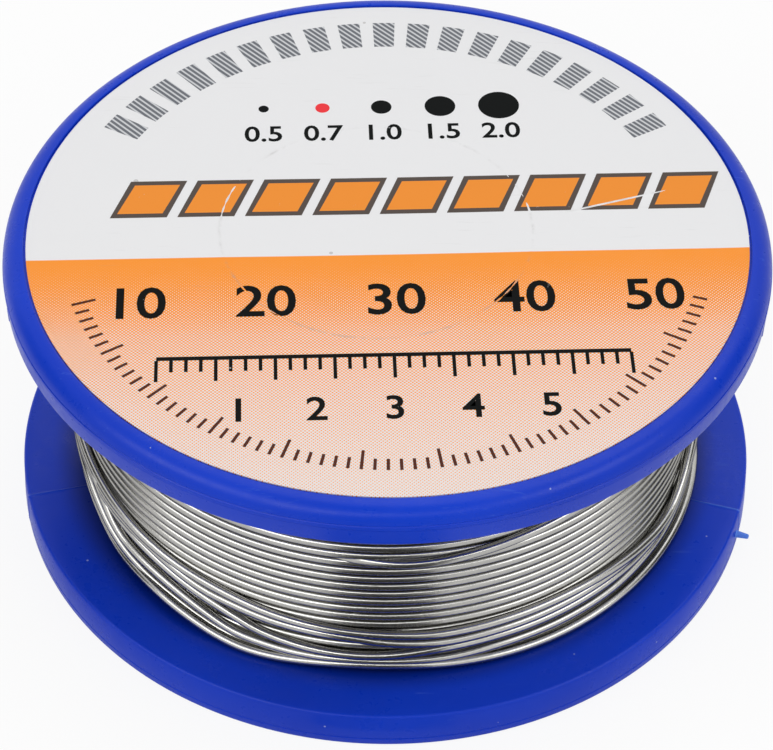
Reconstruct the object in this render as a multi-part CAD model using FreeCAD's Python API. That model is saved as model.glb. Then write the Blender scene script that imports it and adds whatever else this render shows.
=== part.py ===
import FreeCAD, Part
import math
import os

# A reel of 0.7 mm rosin-cored solder wire: a one-piece moulded spool, a paper label in the shallow
# seat of its upper flange, and one continuous wire wound between the flanges.
# Millimetres, Z up. The origin is the centre of the ring that the spool stands on.

# The moulding
flange_radius = 27.0
spool_height = 23.6
flange_thickness = 3.0
barrel_radius = 14.5
bore_radius = 11.0
top_corner_radius = 1.5
top_corner_flats = 3
base_corner_chamfer = 0.4

# The mould's end plates and side slides meet on each rim: on the upper one at the foot of its round
# corner. From there the walls taper a little towards the channel.
rim_taper = 0.08
lower_parting_height = 0.76

# The shallow seat on both outer faces, and the label in the upper one
seat_radius = 25.45
seat_depth = 0.25
label_radius = 25.3
label_thickness = 0.12
label_offset_y = 0.05

# The stub that is left on the lower rim where the slides meet
stub_azimuth = -17.0
stub_height = 1.5
stub_reach = 1.0
stub_radius = 0.25
stub_root_radius = 0.45
stub_root_length = 0.25
stub_tip_chamfer = 0.15

# The wire and how it is wound. The outermost layer's tight turns show as one rib for each pair,
# and below them it is a plain band that the loose turns lie on.
wire_diameter = 0.7
turns_per_layer = 24
tight_turns = 14
turns_per_rib = 2
outer_layer_radius = 22.4
groove_depth = 0.35

# The rosin threads that run through the wire, shown where it is cut
flux_core_count = 3
flux_core_diameter = 0.165
flux_core_ring = 0.17

# The hole beside the barrel that held the wire's first end while it was wound
start_hole_azimuth = 200.0
start_hole_radius = 0.6
start_hole_wall = 0.3
start_end_recess = 0.6

# Turns of the next layer that lie loose on the outer one, as six-sided bars: azimuth and height
# where each starts, the arc that it covers, and how much it climbs on the way
last_turn = {"start": 150.0, "arc": 250.0, "height": 3.36, "climb": 0.0}
loose_turns = [
    last_turn,
    {"start": 206.0, "arc": 50.0, "height": 6.6, "climb": -2.4},
    {"start": 221.0, "arc": 34.0, "height": 7.3, "climb": -2.2},
    {"start": 282.0, "arc": 56.0, "height": 4.15, "climb": 2.0},
    {"start": 277.0, "arc": 47.0, "height": 6.85, "climb": -0.15},
    {"start": 272.0, "arc": 56.0, "height": 13.8, "climb": 1.6},
]
bar_sides = 6

# The wire's last few millimetres, straight on from the end of its last turn
tail_length = 5.0

wire_radius = wire_diameter / 2
channel_low = flange_thickness
channel_high = spool_height - flange_thickness
inner_layers_radius = outer_layer_radius - wire_diameter
loose_radius = outer_layer_radius + wire_radius

vector = FreeCAD.Vector
axis_up = vector(0, 0, 1)
origin = vector(0, 0, 0)


def revolve(outline):
    """Turn a closed outline of (radius, height) points about Z."""
    points = [vector(radius, 0, height) for radius, height in outline]
    face = Part.Face(Part.makePolygon(points + points[:1]))
    return face.revolve(origin, axis_up, 360)


def rounded_top_corner():
    """The upper rim's round corner, as a few flats from the rim's side up to its flat top."""
    centre_radius = flange_radius - top_corner_radius
    centre_height = spool_height - top_corner_radius
    points = []
    for step in range(top_corner_flats + 1):
        angle = math.radians(90 * step / top_corner_flats)
        across = top_corner_radius * math.cos(angle)
        points.append((centre_radius + across, centre_height + top_corner_radius * math.sin(angle)))
    return points


def lower_flange_outline():
    """From the bore's lower mouth, round the seat and the rim, to the channel's floor."""
    return [
        (bore_radius, seat_depth),
        (seat_radius, seat_depth),
        (seat_radius, 0),
        (flange_radius - base_corner_chamfer, 0),
        (flange_radius, base_corner_chamfer),
        (flange_radius, lower_parting_height),
        (flange_radius - rim_taper, channel_low),
    ]


def upper_flange_outline():
    """From the channel's ceiling, round the rim and the label's seat, to the bore's upper mouth."""
    return [
        (flange_radius - rim_taper, channel_high),
        *rounded_top_corner(),
        (seat_radius, spool_height),
        (seat_radius, spool_height - seat_depth),
        (bore_radius, spool_height - seat_depth),
    ]


def rim_stub():
    """The short round stub on the lower rim, with a flared root and a blunt tip."""
    inside = 0.4
    profile = [
        (0, -inside),
        (stub_root_radius, -inside),
        (stub_radius, stub_root_length),
        (stub_radius, stub_reach - stub_tip_chamfer),
        (stub_radius - stub_tip_chamfer, stub_reach),
        (0, stub_reach),
    ]
    stub = revolve(profile)
    stub.rotate(origin, vector(0, 1, 0), 90)
    stub.translate(vector(flange_radius - rim_taper, 0, stub_height))
    stub.rotate(origin, axis_up, stub_azimuth)
    return stub


def start_hole_centre():
    """Where the wire's first end goes down through the lower flange, right beside the barrel."""
    radius = barrel_radius + start_hole_wall + start_hole_radius
    angle = math.radians(start_hole_azimuth)
    return vector(radius * math.cos(angle), radius * math.sin(angle), 0)


def spool_body():
    barrel = [(barrel_radius, channel_low), (barrel_radius, channel_high)]
    body = revolve(lower_flange_outline() + barrel + upper_flange_outline())
    hole = Part.makeCylinder(start_hole_radius, flange_thickness, start_hole_centre())
    return body.fuse(rim_stub()).cut(hole)


def face_label():
    seat_floor = vector(0, label_offset_y, spool_height - seat_depth)
    return Part.makeCylinder(label_radius, label_thickness, seat_floor)


def wire_inner_layers():
    """The layers below the outermost one, as the closed package that they fill."""
    return revolve([
        (barrel_radius, channel_low),
        (inner_layers_radius, channel_low),
        (inner_layers_radius, channel_high),
        (barrel_radius, channel_high),
    ])


def wire_outer_layer():
    """The outermost full layer: a plain band below, and ribs between grooves above it."""
    pitch = (channel_high - channel_low) / turns_per_layer
    rib_height = turns_per_rib * pitch
    tight_low = channel_high - tight_turns * pitch
    valley_radius = outer_layer_radius - groove_depth
    outline = [
        (inner_layers_radius, channel_high),
        (inner_layers_radius, channel_low),
        (outer_layer_radius, channel_low),
        (outer_layer_radius, tight_low),
    ]
    for rib in range(tight_turns // turns_per_rib):
        outline.append((valley_radius, tight_low + rib * rib_height))
        outline.append((outer_layer_radius, tight_low + (rib + 0.5) * rib_height))
    outline.append((valley_radius, channel_high))
    return revolve(outline)


def loose_turn(run):
    """A bar of wire bent to an arc that climbs evenly round the package."""
    first = math.radians(run["start"])
    half = math.radians(run["arc"] / 2)
    slope = math.atan2(run["climb"], 2 * loose_radius * math.sin(half))
    across = vector(math.cos(first + half), math.sin(first + half), 0)
    tilted_axis = FreeCAD.Rotation(across, math.degrees(slope)).multVec(axis_up)
    centre = axis_up * (run["height"] + run["climb"] / 2)
    start = vector(loose_radius * math.cos(first), loose_radius * math.sin(first), run["height"])
    outward = (start - centre).normalize()
    corners = []
    for side in range(bar_sides + 1):
        angle = 2 * math.pi * side / bar_sides
        corner = outward * (wire_radius * math.cos(angle)) + tilted_axis * (wire_radius * math.sin(angle))
        corners.append(start + corner)
    section = Part.Face(Part.makePolygon(corners))
    return section.revolve(centre, tilted_axis, run["arc"])


def tail_rod(radius, outwards=0, upwards=0):
    """A straight round rod along the wire's last stretch, beside or on its middle line."""
    angle = math.radians(last_turn["start"] + last_turn["arc"])
    outward = vector(math.cos(angle), math.sin(angle), 0)
    along = vector(-math.sin(angle), math.cos(angle), 0)
    start = outward * (loose_radius + outwards) + axis_up * (last_turn["height"] + upwards)
    return Part.makeCylinder(radius, tail_length, start, along)


def wire_flux_cores():
    """The rosin threads, evenly spaced round the wire's middle line."""
    threads = []
    for core in range(flux_core_count):
        angle = 2 * math.pi * core / flux_core_count
        outwards = flux_core_ring * math.cos(angle)
        upwards = flux_core_ring * math.sin(angle)
        threads.append(tail_rod(flux_core_diameter / 2, outwards, upwards))
    return Part.makeCompound(threads)


def wire_cut_end():
    return tail_rod(wire_radius).cut(wire_flux_cores())


def wire_start_end():
    """The wire's first end, cut off inside the start hole."""
    low = start_hole_centre() + axis_up * start_end_recess
    return Part.makeCylinder(wire_radius, channel_low - start_end_recess, low)


nodes = {
    "spool_body": spool_body(),
    "face_label": face_label(),
    "wire_inner_layers": wire_inner_layers(),
    "wire_outer_layer": wire_outer_layer(),
    "wire_loose_turns": Part.makeCompound([loose_turn(run) for run in loose_turns]),
    "wire_cut_end": wire_cut_end(),
    "wire_flux_cores": wire_flux_cores(),
    "wire_start_end": wire_start_end(),
}

os.makedirs("parts", exist_ok=True)
for name, shape in nodes.items():
    shape.exportStep("parts/" + name + ".step")
    print(name, "valid", shape.isValid(), "solids", len(shape.Solids), "volume", round(shape.Volume, 3))
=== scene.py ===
import math

import bmesh
import bpy
import numpy as np
from mathutils import Matrix, Vector


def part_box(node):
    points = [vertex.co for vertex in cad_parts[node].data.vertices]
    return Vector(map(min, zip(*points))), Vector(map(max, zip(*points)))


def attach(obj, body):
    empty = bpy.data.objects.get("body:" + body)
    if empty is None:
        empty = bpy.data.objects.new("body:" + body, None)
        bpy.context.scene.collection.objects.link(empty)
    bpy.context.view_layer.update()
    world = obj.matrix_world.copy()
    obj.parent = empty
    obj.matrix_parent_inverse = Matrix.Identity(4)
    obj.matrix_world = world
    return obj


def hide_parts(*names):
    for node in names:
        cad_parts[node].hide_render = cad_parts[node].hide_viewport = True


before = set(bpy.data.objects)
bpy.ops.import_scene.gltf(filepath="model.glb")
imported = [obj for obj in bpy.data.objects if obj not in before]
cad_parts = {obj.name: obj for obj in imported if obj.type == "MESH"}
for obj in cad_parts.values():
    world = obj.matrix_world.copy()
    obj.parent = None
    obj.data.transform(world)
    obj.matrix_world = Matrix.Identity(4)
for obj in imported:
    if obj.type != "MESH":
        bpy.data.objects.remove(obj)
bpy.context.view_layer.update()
print("frame loaded")

mm = 0.001  # sizes below are millimetres, meshes are metres

scene = bpy.context.scene
scene.view_settings.view_transform = "Standard"


def cadBox(name):  # a CAD node's corners in millimetres
    low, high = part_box(name)
    return low / mm, high / mm


_, spoolHigh = cadBox("spool_body")
labelLow, labelHigh = cadBox("face_label")
packLow, packHigh = cadBox("wire_outer_layer")
_, innerHigh = cadBox("wire_inner_layers")

flangeRadius = spoolHigh.y
spoolHeight = spoolHigh.z
labelRadius = (labelHigh.x - labelLow.x) / 2
labelCentre = Vector(((labelHigh.x + labelLow.x) / 2, (labelHigh.y + labelLow.y) / 2, labelHigh.z))
channelLow = packLow.z
channelHigh = packHigh.z
packRadius = packHigh.x
wireDiameter = packRadius - innerHigh.x
wireRadius = wireDiameter / 2


# Camera, where the photo was taken from
cameraView = {
    "place": (0.0, -161.82, 170.81),
    "turn": (45.064, -0.425, 0.418),
    "lens": 145.30,
}


def makeCamera(view):
    lens = bpy.data.cameras.new("camera")
    lens.lens = view["lens"]
    lens.sensor_width = 36.0
    lens.clip_start = 0.01
    lens.clip_end = 20.0
    camera = bpy.data.objects.new("camera", lens)
    scene.collection.objects.link(camera)
    camera.location = Vector(view["place"]) * mm
    camera.rotation_euler = [math.radians(angle) for angle in view["turn"]]
    scene.camera = camera


makeCamera(cameraView)
print("camera ready")


# Node helpers, for shader and geometry trees alike
def feed(tree, socket, value):
    if isinstance(value, bpy.types.NodeSocket):
        tree.links.new(value, socket)
    elif value is not None:
        socket.default_value = value


def addNode(tree, kind, inputs=None, **settings):
    node = tree.nodes.new(kind)
    for name, value in settings.items():
        setattr(node, name, value)
    for key, value in (inputs or {}).items():
        feed(tree, node.inputs[key], value)
    return node


def calc(tree, operation, *values):
    node = tree.nodes.new("ShaderNodeMath")
    node.operation = operation
    for socket, value in zip(node.inputs, values):
        feed(tree, socket, value)
    return node.outputs[0]


def vectorCalc(tree, operation, *values):
    node = tree.nodes.new("ShaderNodeVectorMath")
    node.operation = operation
    for socket, value in zip(node.inputs, values):
        feed(tree, socket, value)
    return node.outputs[0]


def mixColour(tree, factor, first, second, blend="MIX"):
    node = tree.nodes.new("ShaderNodeMix")
    node.data_type = "RGBA"
    node.blend_type = blend
    feed(tree, node.inputs[0], factor)
    feed(tree, node.inputs[6], first)
    feed(tree, node.inputs[7], second)
    return node.outputs[2]


def remap(tree, value, fromLow, fromHigh, toLow=0.0, toHigh=1.0, smooth=False):
    node = addNode(tree, "ShaderNodeMapRange", interpolation_type="SMOOTHSTEP" if smooth else "LINEAR")
    for key, entry in zip(("Value", "From Min", "From Max", "To Min", "To Max"),
                          (value, fromLow, fromHigh, toLow, toHigh)):
        feed(tree, node.inputs[key], entry)
    return node.outputs[0]


def noise(tree, vector, scale, detail=2.0, roughness=0.5):
    node = addNode(tree, "ShaderNodeTexNoise", {"Vector": vector, "Scale": scale, "Detail": detail,
                                                "Roughness": roughness})
    return node.outputs["Fac"]


def sizedTree(name, kind, inputs, outputs):
    tree = bpy.data.node_groups.new(name, kind)
    for label, socketKind, value in inputs:
        socket = tree.interface.new_socket(name=label, in_out="INPUT", socket_type=socketKind)
        if value is not None:
            socket.default_value = value
    for label, socketKind in outputs:
        tree.interface.new_socket(name=label, in_out="OUTPUT", socket_type=socketKind)
    entry = tree.nodes.new("NodeGroupInput")
    result = tree.nodes.new("NodeGroupOutput")
    return tree, entry.outputs, result.inputs


# Effects that several finishes share
markings = {
    "scuffLines": ((0.4, 9.0), (1.7, 14.0), (2.6, 11.0)),  # how each set of scuffs is turned and stretched
    "scuffLean": (0.3, 0.2),
    "scuffScale": 260.0,
    "scuffRange": (0.66, 0.74),
    "patchScale": 140.0,
    "patchRange": (0.45, 0.65),
    "coarseGrain": 0.12,
    "grainRange": (0.35, 0.65),
}


def makeScuffGroup():
    tree, entry, result = sizedTree(
        "scuffMarks", "ShaderNodeTree",
        [("Vector", "NodeSocketVector", None), ("Scale", "NodeSocketFloat", 1.0),
         ("Amount", "NodeSocketFloat", 0.5)],
        [("Mask", "NodeSocketFloat")])
    spot = vectorCalc(tree, "SCALE", entry["Vector"])
    tree.links.new(entry["Scale"], spot.node.inputs["Scale"])
    leanX, leanY = markings["scuffLean"]
    lines = []
    for turn, stretch in markings["scuffLines"]:
        across = addNode(tree, "ShaderNodeMapping", {"Vector": spot, "Rotation": (leanX * turn, leanY, turn),
                                                     "Scale": (1.0, stretch, stretch)})
        streaks = noise(tree, across.outputs[0], markings["scuffScale"], 3.0, 0.6)
        lines.append(remap(tree, streaks, *markings["scuffRange"]))
    marks = calc(tree, "MAXIMUM", calc(tree, "MAXIMUM", lines[0], lines[1]), lines[2])
    patches = remap(tree, noise(tree, spot, markings["patchScale"]), *markings["patchRange"], smooth=True)
    scuffs = calc(tree, "MULTIPLY", marks, patches)
    feed(tree, result["Mask"], calc(tree, "MULTIPLY", scuffs, entry["Amount"]))
    return tree


def makeSpeckGroup():
    tree, entry, result = sizedTree(
        "dustSpecks", "ShaderNodeTree",
        [("Vector", "NodeSocketVector", None), ("Scale", "NodeSocketFloat", 900.0),
         ("Size", "NodeSocketFloat", 0.12), ("Share", "NodeSocketFloat", 0.1)],
        [("Mask", "NodeSocketFloat")])
    cells = addNode(tree, "ShaderNodeTexVoronoi", {"Vector": entry["Vector"], "Scale": entry["Scale"]})
    near = calc(tree, "LESS_THAN", cells.outputs["Distance"], entry["Size"])
    pick = addNode(tree, "ShaderNodeSeparateColor", {"Color": cells.outputs["Color"]})
    kept = calc(tree, "LESS_THAN", pick.outputs[0], entry["Share"])
    feed(tree, result["Mask"], calc(tree, "MULTIPLY", near, kept))
    return tree


def makeGrainGroup():
    tree, entry, result = sizedTree(
        "fineGrain", "ShaderNodeTree",
        [("Vector", "NodeSocketVector", None), ("Scale", "NodeSocketFloat", 2000.0),
         ("Low", "NodeSocketFloat", 0.0), ("High", "NodeSocketFloat", 1.0)],
        [("Value", "NodeSocketFloat"), ("Height", "NodeSocketFloat")])
    coarseScale = calc(tree, "MULTIPLY", entry["Scale"], markings["coarseGrain"])
    coarse = noise(tree, entry["Vector"], coarseScale, 3.0)
    fine = noise(tree, entry["Vector"], entry["Scale"])
    both = calc(tree, "ADD", calc(tree, "MULTIPLY", coarse, 0.5), calc(tree, "MULTIPLY", fine, 0.5))
    feed(tree, result["Value"], remap(tree, both, *markings["grainRange"], entry["Low"], entry["High"]))
    feed(tree, result["Height"], both)
    return tree


def makeAxisGroup():  # how far a point lies from the spool's axis, and how high
    tree, entry, result = sizedTree(
        "placeOnSpool", "ShaderNodeTree",
        [("Vector", "NodeSocketVector", None)],
        [("Radius", "NodeSocketFloat"), ("Height", "NodeSocketFloat")])
    axes = addNode(tree, "ShaderNodeSeparateXYZ", {"Vector": entry["Vector"]})
    flat = addNode(tree, "ShaderNodeCombineXYZ", {"X": axes.outputs["X"], "Y": axes.outputs["Y"]})
    feed(tree, result["Radius"], vectorCalc(tree, "LENGTH", flat.outputs[0]).node.outputs["Value"])
    feed(tree, result["Height"], axes.outputs["Z"])
    return tree


groups = {"scuff": makeScuffGroup(), "speck": makeSpeckGroup(), "grain": makeGrainGroup(),
          "place": makeAxisGroup()}


def useGroup(tree, name, inputs):
    node = tree.nodes.new("ShaderNodeGroup")
    node.node_tree = groups[name]
    for key, value in inputs.items():
        feed(tree, node.inputs[key], value)
    return node.outputs


def addGrain(tree, coords, look):  # fine grain between the finish's two roughnesses
    low, high = look["roughness"]
    return useGroup(tree, "grain", {"Vector": coords, "Scale": look["grainScale"], "Low": low, "High": high})


def newMaterial(name):
    material = bpy.data.materials.new(name)
    material.use_nodes = True
    tree = material.node_tree
    shader = tree.nodes["Principled BSDF"]
    coords = addNode(tree, "ShaderNodeTexCoord").outputs["Object"]
    return material, tree, shader, coords


def addBump(tree, shader, height, strength, distance):
    bump = addNode(tree, "ShaderNodeBump", {"Height": height, "Strength": strength, "Distance": distance})
    tree.links.new(bump.outputs[0], shader.inputs["Normal"])


# Blue moulded polystyrene
plastic = {
    "colour": (0.003, 0.044, 0.57, 1.0),
    "deep": (0.002, 0.035, 0.49, 1.0),
    "cloudScale": 60.0,
    "cloudRange": (0.35, 0.65),
    "worn": (0.10, 0.20, 0.68, 1.0),
    "wornShare": 0.35,
    "wornRoughness": 0.25,
    "scuffs": {"Scale": 1.0, "Amount": 0.55},
    "pale": (0.10, 0.25, 0.80, 1.0),
    "dust": (0.45, 0.50, 0.70, 1.0),
    "dustShare": 0.6,
    "specks": {"Scale": 1500.0, "Size": 0.12, "Share": 0.03},
    # painted shade near the wire, below
    "shaded": (0.0005, 0.008, 0.11, 1.0),
    "shadedShare": 0.9,
    "shadedFrom": (25.0, 22.4),
    "shadedEdge": 0.1,
    "roughness": (0.24, 0.40),
    "grainScale": 1800.0,
    "shine": 0.20,
    "bump": (0.12, 0.00006),
}


def makePlastic(look):
    material, tree, shader, coords = newMaterial("bluePlastic")
    cloud = remap(tree, noise(tree, coords, look["cloudScale"], 3.0), *look["cloudRange"])
    scuffs = useGroup(tree, "scuff", {"Vector": coords, **look["scuffs"]})["Mask"]
    specks = useGroup(tree, "speck", {"Vector": coords, **look["specks"]})["Mask"]
    grain = addGrain(tree, coords, look)
    colour = mixColour(tree, cloud, look["deep"], look["colour"])
    colour = mixColour(tree, calc(tree, "MULTIPLY", scuffs, look["wornShare"]), colour, look["worn"])
    colour = mixColour(tree, calc(tree, "MULTIPLY", specks, look["dustShare"]), colour, look["dust"])
    pale = addNode(tree, "ShaderNodeAttribute", attribute_name="pale").outputs["Fac"]
    colour = mixColour(tree, pale, colour, look["pale"])
    # Painted shade: the channel's walls are darker close to the wire
    place = useGroup(tree, "place", {"Vector": coords})
    away, close = (radius * mm for radius in look["shadedFrom"])
    beside = remap(tree, place["Radius"], away, close, 0.0, look["shadedShare"], smooth=True)
    low, high = (channelLow - look["shadedEdge"]) * mm, (channelHigh + look["shadedEdge"]) * mm
    inside = calc(tree, "MULTIPLY", calc(tree, "GREATER_THAN", place["Height"], low),
                  calc(tree, "LESS_THAN", place["Height"], high))
    colour = mixColour(tree, calc(tree, "MULTIPLY", beside, inside), colour, look["shaded"])
    tree.links.new(colour, shader.inputs["Base Color"])
    rough = calc(tree, "ADD", grain["Value"], calc(tree, "MULTIPLY", scuffs, look["wornRoughness"]))
    tree.links.new(rough, shader.inputs["Roughness"])
    shader.inputs["Specular IOR Level"].default_value = look["shine"]
    addBump(tree, shader, grain["Height"], *look["bump"])
    return material


# Drawn solder wire
wireFinish = {
    "bright": (0.52, 0.515, 0.50, 1.0),
    "dull": (0.38, 0.375, 0.35, 1.0),
    "drawnShares": (9.0, 40.0),  # how often the drawing marks change round the wire and along it
    "drawnScale": 2.4,
    "drawnRange": (0.3, 0.7),
    "dullShares": (0.6, 0.3),
    # painted shade in the grooves between the turns
    "grooveShade": (0.10, 0.095, 0.085, 1.0),
    "grooveShadeDepth": (0.34, 0.10),
    "grooveShadeShare": 0.85,
    "edge": (0.36, 0.35, 0.32, 1.0),
    "roughness": (0.16, 0.28),
    "wornRoughness": 0.2,
    "scuffs": {"Scale": 2.2, "Amount": 0.7},
    "grainScale": 2600.0,
    "heightShares": (0.7, 0.3),
    "bump": (0.10, 0.00003),
}


def makeWireMetal(look):
    material, tree, shader, coords = newMaterial("solderWire")
    around = addNode(tree, "ShaderNodeAttribute", attribute_name="around").outputs["Fac"]
    along = addNode(tree, "ShaderNodeAttribute", attribute_name="along").outputs["Fac"]
    roundWire, downWire = look["drawnShares"]
    strip = addNode(tree, "ShaderNodeCombineXYZ", {"X": calc(tree, "MULTIPLY", around, roundWire),
                                                   "Y": calc(tree, "MULTIPLY", along, downWire)})
    drawn = noise(tree, strip.outputs[0], look["drawnScale"], 3.0, 0.6)
    grain = useGroup(tree, "grain", {"Vector": coords, "Scale": look["grainScale"]})
    scuffs = useGroup(tree, "scuff", {"Vector": coords, **look["scuffs"]})["Mask"]
    drawnShare, grainShare = look["dullShares"]
    dullness = calc(tree, "MULTIPLY", remap(tree, drawn, *look["drawnRange"]), drawnShare)
    dullness = calc(tree, "ADD", dullness, calc(tree, "MULTIPLY", grain["Value"], grainShare))
    colour = mixColour(tree, dullness, look["bright"], look["dull"])
    # Painted shade: the wire is darker in the grooves between the turns
    deep, shallow = ((packRadius - depth) * mm for depth in look["grooveShadeDepth"])
    outwards = useGroup(tree, "place", {"Vector": coords})["Radius"]
    grooveShade = remap(tree, outwards, deep, shallow, look["grooveShadeShare"], 0.0, smooth=True)
    colour = mixColour(tree, grooveShade, colour, look["grooveShade"])
    tree.links.new(colour, shader.inputs["Base Color"])
    rough = remap(tree, dullness, 0.0, 1.0, *look["roughness"])
    rough = calc(tree, "ADD", rough, calc(tree, "MULTIPLY", scuffs, look["wornRoughness"]))
    tree.links.new(rough, shader.inputs["Roughness"])
    shader.inputs["Metallic"].default_value = 1.0
    shader.inputs["Specular Tint"].default_value = look["edge"]
    drawnHeight, grainHeight = look["heightShares"]
    height = calc(tree, "ADD", calc(tree, "MULTIPLY", drawn, drawnHeight),
                  calc(tree, "MULTIPLY", grain["Height"], grainHeight))
    addBump(tree, shader, height, *look["bump"])
    return material


# Amber rosin in the wire's cores
rosin = {
    "colour": (0.50, 0.24, 0.05, 1.0),
    "deep": (0.30, 0.12, 0.02, 1.0),
    "roughness": (0.12, 0.3),
    "grainScale": 5000.0,
    "bump": (0.2, 0.00003),
}


def makeRosin(look):
    material, tree, shader, coords = newMaterial("rosinFlux")
    grain = addGrain(tree, coords, look)
    colour = mixColour(tree, grain["Height"], look["deep"], look["colour"])
    tree.links.new(colour, shader.inputs["Base Color"])
    tree.links.new(grain["Value"], shader.inputs["Roughness"])
    addBump(tree, shader, grain["Height"], *look["bump"])
    return material


# The label's paper: pale grey above a straight edge, and below it an orange field in a fine halftone
paper = {
    "turn": 2.43,
    "edge": -2.2,
    "edgeBlur": 0.03,
    "grey": (0.80, 0.80, 0.81, 1.0),
    "orange": (0.94, 0.295, 0.024, 1.0),
    "pale": (0.80, 0.745, 0.72, 1.0),
    "dot": 0.19,
    "dotBlur": 0.12,
    "fade": ((-3.0, 1.05), (-10.0, 0.56), (-22.0, 0.28)),  # height on the label, share of orange
    # dirt, and painted shade along the crease and the fold
    "grimeAndShade": (0.34, 0.32, 0.31, 1.0),
    "scuffs": {"Scale": 0.8, "Amount": 1.0},
    "scuffShare": 0.10,
    "specks": {"Scale": 500.0, "Size": 0.09, "Share": 0.04},
    "speckShare": 0.5,
    "wearScale": 900.0,
    "wearRange": (0.42, 0.62),
    "creaseShadeShare": 0.45,
    "wearHeight": 2.0,
    "roughness": (0.42, 0.60),
    "grainScale": 2400.0,
    "shine": 0.3,
    "bump": (0.25, 0.00003),
}


def fadeLine(tree, value, low, high):  # a straight line through two (place, tone) points
    node = addNode(tree, "ShaderNodeMapRange", {
        "Value": value, "From Min": low[0], "From Max": high[0], "To Min": low[1], "To Max": high[1]})
    node.clamp = False
    return node.outputs[0]


def makePaper(look):
    material, tree, shader, coords = newMaterial("labelPaper")
    turned = addNode(tree, "ShaderNodeMapping", {
        "Vector": coords, "Rotation": (0.0, 0.0, -math.radians(look["turn"])), "Scale": (1 / mm,) * 3})
    axes = addNode(tree, "ShaderNodeSeparateXYZ", {"Vector": turned.outputs[0]})
    across, upward = axes.outputs["X"], axes.outputs["Y"]
    ruling = math.pi * math.sqrt(2.0) / look["dot"]  # rows of dots at 45 degrees
    waves = [calc(tree, "SINE", calc(tree, "MULTIPLY", axis, ruling)) for axis in (across, upward)]
    screen = remap(tree, calc(tree, "MULTIPLY", *waves), -1.0, 1.0)
    high, middle, low = look["fade"]
    tone = calc(tree, "MAXIMUM", fadeLine(tree, upward, middle, high), fadeLine(tree, upward, low, middle))
    ink = remap(tree, calc(tree, "SUBTRACT", tone, screen), -look["dotBlur"], look["dotBlur"])
    field = mixColour(tree, ink, look["pale"], look["orange"])
    above = remap(tree, upward, look["edge"] - look["edgeBlur"], look["edge"] + look["edgeBlur"])
    colour = mixColour(tree, above, field, look["grey"])
    grain = addGrain(tree, coords, look)
    scuffs = useGroup(tree, "scuff", {"Vector": coords, **look["scuffs"]})["Mask"]
    specks = useGroup(tree, "speck", {"Vector": coords, **look["specks"]})["Mask"]
    # Painted shade in flecks along the crease and the fold, on top of their wear; the specks and scuffs are
    # dirt
    crease = addNode(tree, "ShaderNodeAttribute", attribute_name="crease").outputs["Fac"]
    flakes = remap(tree, noise(tree, coords, look["wearScale"], 3.0, 0.7), *look["wearRange"])
    worn = calc(tree, "MULTIPLY", crease, flakes)
    dirtAndCreaseShade = calc(tree, "MAXIMUM", calc(tree, "MULTIPLY", specks, look["speckShare"]),
                  calc(tree, "MULTIPLY", worn, look["creaseShadeShare"]))
    dirtAndCreaseShade = calc(tree, "MAXIMUM", dirtAndCreaseShade, calc(tree, "MULTIPLY", scuffs, look["scuffShare"]))
    colour = mixColour(tree, dirtAndCreaseShade, colour, look["grimeAndShade"])
    tree.links.new(colour, shader.inputs["Base Color"])
    tree.links.new(grain["Value"], shader.inputs["Roughness"])
    shader.inputs["Specular IOR Level"].default_value = look["shine"]
    relief = calc(tree, "ADD", grain["Height"], calc(tree, "MULTIPLY", worn, look["wearHeight"]))
    addBump(tree, shader, relief, *look["bump"])
    return material


# Printing inks on the label
inks = {
    "black": (0.005, 0.006, 0.006, 1.0),
    "grey": (0.16, 0.17, 0.19, 1.0),
    "orange": (0.87, 0.29, 0.045, 1.0),
    "outline": (0.10, 0.08, 0.07, 1.0),
    "brown": (0.09, 0.03, 0.02, 1.0),
    "red": (0.85, 0.05, 0.06, 1.0),
}
inkFinish = {
    "paper": (0.62, 0.60, 0.58, 1.0),
    "gapScale": 1500.0,
    "gapRange": (0.70, 0.74),
    "gapShare": 0.8,
    "hatchPaper": (0.62, 0.63, 0.65, 1.0),
    "hatchStep": 0.52,
    "hatchRange": (0.1, 0.5),
    "roughness": (0.30, 0.55),
    "grainScale": 4000.0,
    "shine": 0.03,
}


def makeInk(name, colour, look):
    material, tree, shader, coords = newMaterial("ink" + name.capitalize())
    grain = addGrain(tree, coords, look)
    gaps = remap(tree, noise(tree, coords, look["gapScale"], 4.0, 0.75), *look["gapRange"])
    tint = mixColour(tree, calc(tree, "MULTIPLY", gaps, look["gapShare"]), colour, look["paper"])
    if name == "grey":  # printed as slanting lines
        axes = addNode(tree, "ShaderNodeSeparateXYZ", {"Vector": coords})
        slant = calc(tree, "ADD", axes.outputs["X"], axes.outputs["Y"])
        lines = calc(tree, "SINE", calc(tree, "MULTIPLY", slant, 2 * math.pi / (look["hatchStep"] * mm)))
        tint = mixColour(tree, remap(tree, lines, *look["hatchRange"]), tint, look["hatchPaper"])
    tree.links.new(tint, shader.inputs["Base Color"])
    tree.links.new(grain["Value"], shader.inputs["Roughness"])
    shader.inputs["Specular IOR Level"].default_value = look["shine"]
    return material


bluePlastic = makePlastic(plastic)
solderWire = makeWireMetal(wireFinish)
rosinFlux = makeRosin(rosin)
labelPaper = makePaper(paper)
inkMaterials = {name: makeInk(name, colour, inkFinish) for name, colour in inks.items()}
print("finishes ready")


# Mesh helpers
def addObject(name, data):
    piece = bpy.data.objects.new(name, data)
    scene.collection.objects.link(piece)
    return piece


def meshFrom(name, points, faces):
    mesh = bpy.data.meshes.new(name)
    mesh.from_pydata([Vector(point) * mm for point in points], [], faces)
    mesh.validate()
    mesh.update()
    return mesh


def fixNormals(mesh):
    work = bmesh.new()
    work.from_mesh(mesh)
    bmesh.ops.remove_doubles(work, verts=work.verts, dist=1e-7)
    bmesh.ops.recalc_face_normals(work, faces=work.faces)
    work.to_mesh(mesh)
    work.free()


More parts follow.
